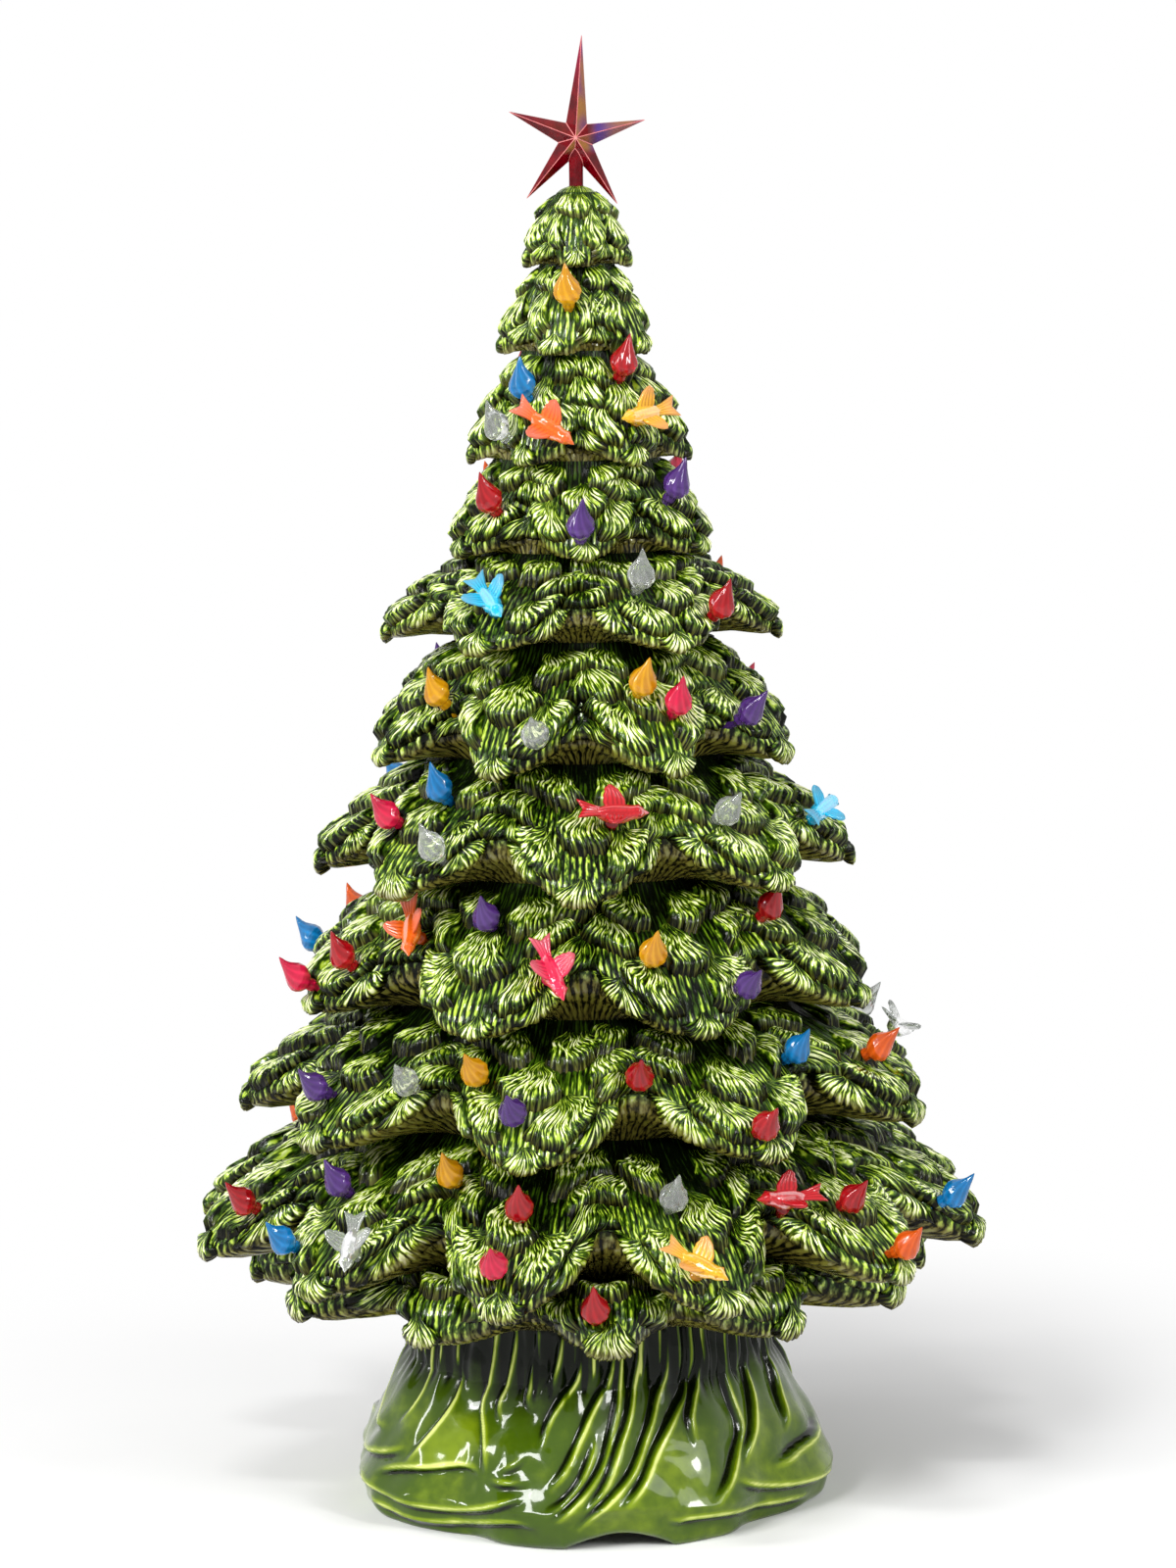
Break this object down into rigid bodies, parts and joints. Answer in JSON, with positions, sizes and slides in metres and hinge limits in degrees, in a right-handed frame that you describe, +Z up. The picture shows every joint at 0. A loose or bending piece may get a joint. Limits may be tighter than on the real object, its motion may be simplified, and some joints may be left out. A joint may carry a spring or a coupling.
{
  "type": "ceramic christmas tree",
  "caption": "Table-top ceramic Christmas tree in branched tiers, with plug-in coloured lights, turning birds and a star, standing on a draped base that holds its lamp.",
  "frame": {"origin": "on the table, under the tree's axis", "axes": "+Z up along the tree's axis, -Y towards the front of the picture, +X to its right"},
  "size_m": [0.3323, 0.3389, 0.6114],
  "materials": {
    "tree_glaze": "glossy mottled green glaze",
    "base_glaze": "glossy olive green glaze",
    "star_plastic": "clear red moulded plastic",
    "socket_plastic": "moulded",
    "spring_steel": "bent strip",
    "brass": "pressed",
    "bulb_glass": "clear blown glass",
    "stem_glass": "pressed glass",
    "insulator": "black glass bead",
    "solder": "soldered",
    "tungsten": "coiled wire",
    "plastic_red": "clear coloured moulded plastic",
    "plastic_pink": "clear coloured moulded plastic",
    "plastic_yellow": "clear coloured moulded plastic",
    "plastic_orange": "clear coloured moulded plastic",
    "plastic_blue": "clear coloured moulded plastic",
    "plastic_purple": "clear coloured moulded plastic",
    "plastic_clear": "clear coloured moulded plastic"
  },
  "bodies": {
    "base": {"base_skirt": "base_glaze", "socket_body": "socket_plastic", "socket_spring_clips": "spring_steel", "socket_screw_shell": "brass", "socket_centre_contact": "brass"},
    "tree": {"tree_tier_01": "tree_glaze", "tree_tier_02": "tree_glaze", "tree_tier_03": "tree_glaze", "tree_tier_04": "tree_glaze", "tree_tier_05": "tree_glaze", "tree_tier_06": "tree_glaze", "tree_tier_07": "tree_glaze", "tree_tier_08": "tree_glaze", "tree_tier_09": "tree_glaze", "tree_tier_10": "tree_glaze", "tree_tier_11": "tree_glaze", "lights_blue": "plastic_blue", "lights_clear": "plastic_clear", "lights_orange": "plastic_orange", "lights_pink": "plastic_pink", "lights_purple": "plastic_purple", "lights_red": "plastic_red", "lights_yellow": "plastic_yellow"},
    "star": {"star": "star_plastic"},
    "bulb_foot": {"bulb_insulator": "insulator", "bulb_contact": "solder"},
    "bulb": {"bulb_glass": "bulb_glass", "bulb_cap": "brass", "bulb_stem": "stem_glass", "bulb_lead_wires": "spring_steel", "bulb_filament": "tungsten"},
    "bird_back_blue_upper": {"bird_back_blue_upper": "plastic_blue"},
    "bird_back_clear_left": {"bird_back_clear_left": "plastic_clear"},
    "bird_back_orange_crown": {"bird_back_orange_crown": "plastic_orange"},
    "bird_back_orange_left": {"bird_back_orange_left": "plastic_orange"},
    "bird_back_pink_front": {"bird_back_pink_front": "plastic_pink"},
    "bird_back_red_low": {"bird_back_red_low": "plastic_red"},
    "bird_back_red_middle": {"bird_back_red_middle": "plastic_red"},
    "bird_back_yellow_crown": {"bird_back_yellow_crown": "plastic_yellow"},
    "bird_back_yellow_low": {"bird_back_yellow_low": "plastic_yellow"},
    "bird_blue_right": {"bird_blue_right": "plastic_blue"},
    "bird_blue_upper": {"bird_blue_upper": "plastic_blue"},
    "bird_clear_left": {"bird_clear_left": "plastic_clear"},
    "bird_clear_right": {"bird_clear_right": "plastic_clear"},
    "bird_orange_crown": {"bird_orange_crown": "plastic_orange"},
    "bird_orange_left": {"bird_orange_left": "plastic_orange"},
    "bird_pink_front": {"bird_pink_front": "plastic_pink"},
    "bird_red_low": {"bird_red_low": "plastic_red"},
    "bird_red_middle": {"bird_red_middle": "plastic_red"},
    "bird_yellow_crown": {"bird_yellow_crown": "plastic_yellow"},
    "bird_yellow_low": {"bird_yellow_low": "plastic_yellow"}
  },
  "joints": [
    {"name": "tree_lift", "type": "slide", "parent": "base", "child": "tree", "axis": [0, 0, 1], "range_m": [0, 0.15]},
    {"name": "star_turn", "type": "hinge", "parent": "tree", "child": "star", "pos_m": [0, 0, 0.546], "axis": [0, 0, 1], "continuous": true},
    {"name": "bulb_rise", "type": "slide", "parent": "base", "child": "bulb_foot", "axis": [0, 0, 1], "range_m": [0, 0.0128]},
    {"name": "bulb_turn", "type": "hinge", "parent": "bulb_foot", "child": "bulb", "pos_m": [0, 0, 0.08], "axis": [0, 0, 1], "range_deg": [0, 1800]},
    {"name": "bird_back_blue_upper_turn", "type": "hinge", "parent": "tree", "child": "bird_back_blue_upper", "pos_m": [-0.03441, 0.06471, 0.379], "axis": [-0.3185, 0.6078, 0.7274], "continuous": true},
    {"name": "bird_back_clear_left_turn", "type": "hinge", "parent": "tree", "child": "bird_back_clear_left", "pos_m": [-0.07991, 0.10973, 0.14246], "axis": [-0.2147, 0.6146, 0.759], "continuous": true},
    {"name": "bird_back_orange_crown_turn", "type": "hinge", "parent": "tree", "child": "bird_back_orange_crown", "pos_m": [-0.01309, 0.0395, 0.44954], "axis": [0.0192, 0.927, 0.3746], "continuous": true},
    {"name": "bird_back_orange_left_turn", "type": "hinge", "parent": "tree", "child": "bird_back_orange_left", "pos_m": [-0.06618, 0.06618, 0.2469], "axis": [-0.5706, 0.5706, 0.5906], "continuous": true},
    {"name": "bird_back_pink_front_turn", "type": "hinge", "parent": "tree", "child": "bird_back_pink_front", "pos_m": [-0.01503, 0.10501, 0.23607], "axis": [0.2256, 0.7769, 0.5878], "continuous": true},
    {"name": "bird_back_red_low_turn", "type": "hinge", "parent": "tree", "child": "bird_back_red_low", "pos_m": [0.08858, 0.12623, 0.1311], "axis": [0.1948, 0.6232, 0.7574], "continuous": true},
    {"name": "bird_back_red_middle_turn", "type": "hinge", "parent": "tree", "child": "bird_back_red_middle", "pos_m": [0.01105, 0.09078, 0.29637], "axis": [0.2031, 0.6941, 0.6906], "continuous": true},
    {"name": "bird_back_yellow_crown_turn", "type": "hinge", "parent": "tree", "child": "bird_back_yellow_crown", "pos_m": [0.02285, 0.03393, 0.4535], "axis": [0.5464, 0.7309, 0.409], "continuous": true},
    {"name": "bird_back_yellow_low_turn", "type": "hinge", "parent": "tree", "child": "bird_back_yellow_low", "pos_m": [0.04147, 0.15492, 0.12785], "axis": [0.2167, 0.5982, 0.7715], "continuous": true},
    {"name": "bird_blue_right_turn", "type": "hinge", "parent": "tree", "child": "bird_blue_right", "pos_m": [0.09374, -0.02317, 0.28768], "axis": [0.6236, -0.4123, 0.6642], "continuous": true},
    {"name": "bird_blue_upper_turn", "type": "hinge", "parent": "tree", "child": "bird_blue_upper", "pos_m": [-0.03441, -0.06471, 0.379], "axis": [-0.3185, -0.6078, 0.7274], "continuous": true},
    {"name": "bird_clear_left_turn", "type": "hinge", "parent": "tree", "child": "bird_clear_left", "pos_m": [-0.0919, -0.12627, 0.13014], "axis": [-0.234, -0.6039, 0.762], "continuous": true},
    {"name": "bird_clear_right_turn", "type": "hinge", "parent": "tree", "child": "bird_clear_right", "pos_m": [0.12902, 0.03224, 0.18525], "axis": [0.648, 0.0673, 0.7586], "continuous": true},
    {"name": "bird_orange_crown_turn", "type": "hinge", "parent": "tree", "child": "bird_orange_crown", "pos_m": [-0.01309, -0.0395, 0.44954], "axis": [0.0192, -0.927, 0.3746], "continuous": true},
    {"name": "bird_orange_left_turn", "type": "hinge", "parent": "tree", "child": "bird_orange_left", "pos_m": [-0.06618, -0.06618, 0.2469], "axis": [-0.5706, -0.5706, 0.5906], "continuous": true},
    {"name": "bird_pink_front_turn", "type": "hinge", "parent": "tree", "child": "bird_pink_front", "pos_m": [-0.01503, -0.10501, 0.23607], "axis": [0.2256, -0.7769, 0.5878], "continuous": true},
    {"name": "bird_red_low_turn", "type": "hinge", "parent": "tree", "child": "bird_red_low", "pos_m": [0.07699, -0.10977, 0.1433], "axis": [0.2492, -0.5931, 0.7656], "continuous": true},
    {"name": "bird_red_middle_turn", "type": "hinge", "parent": "tree", "child": "bird_red_middle", "pos_m": [0.01105, -0.09078, 0.29637], "axis": [0.2031, -0.6941, 0.6906], "continuous": true},
    {"name": "bird_yellow_crown_turn", "type": "hinge", "parent": "tree", "child": "bird_yellow_crown", "pos_m": [0.02285, -0.03393, 0.4535], "axis": [0.5464, -0.7309, 0.409], "continuous": true},
    {"name": "bird_yellow_low_turn", "type": "hinge", "parent": "tree", "child": "bird_yellow_low", "pos_m": [0.04155, -0.1549, 0.12785], "axis": [0.1114, -0.6264, 0.7715], "continuous": true}
  ],
  "couplings": [
    {"joint": "bulb_rise", "follows": "bulb_turn", "m_per_rad": 0.00040425}
  ]
}
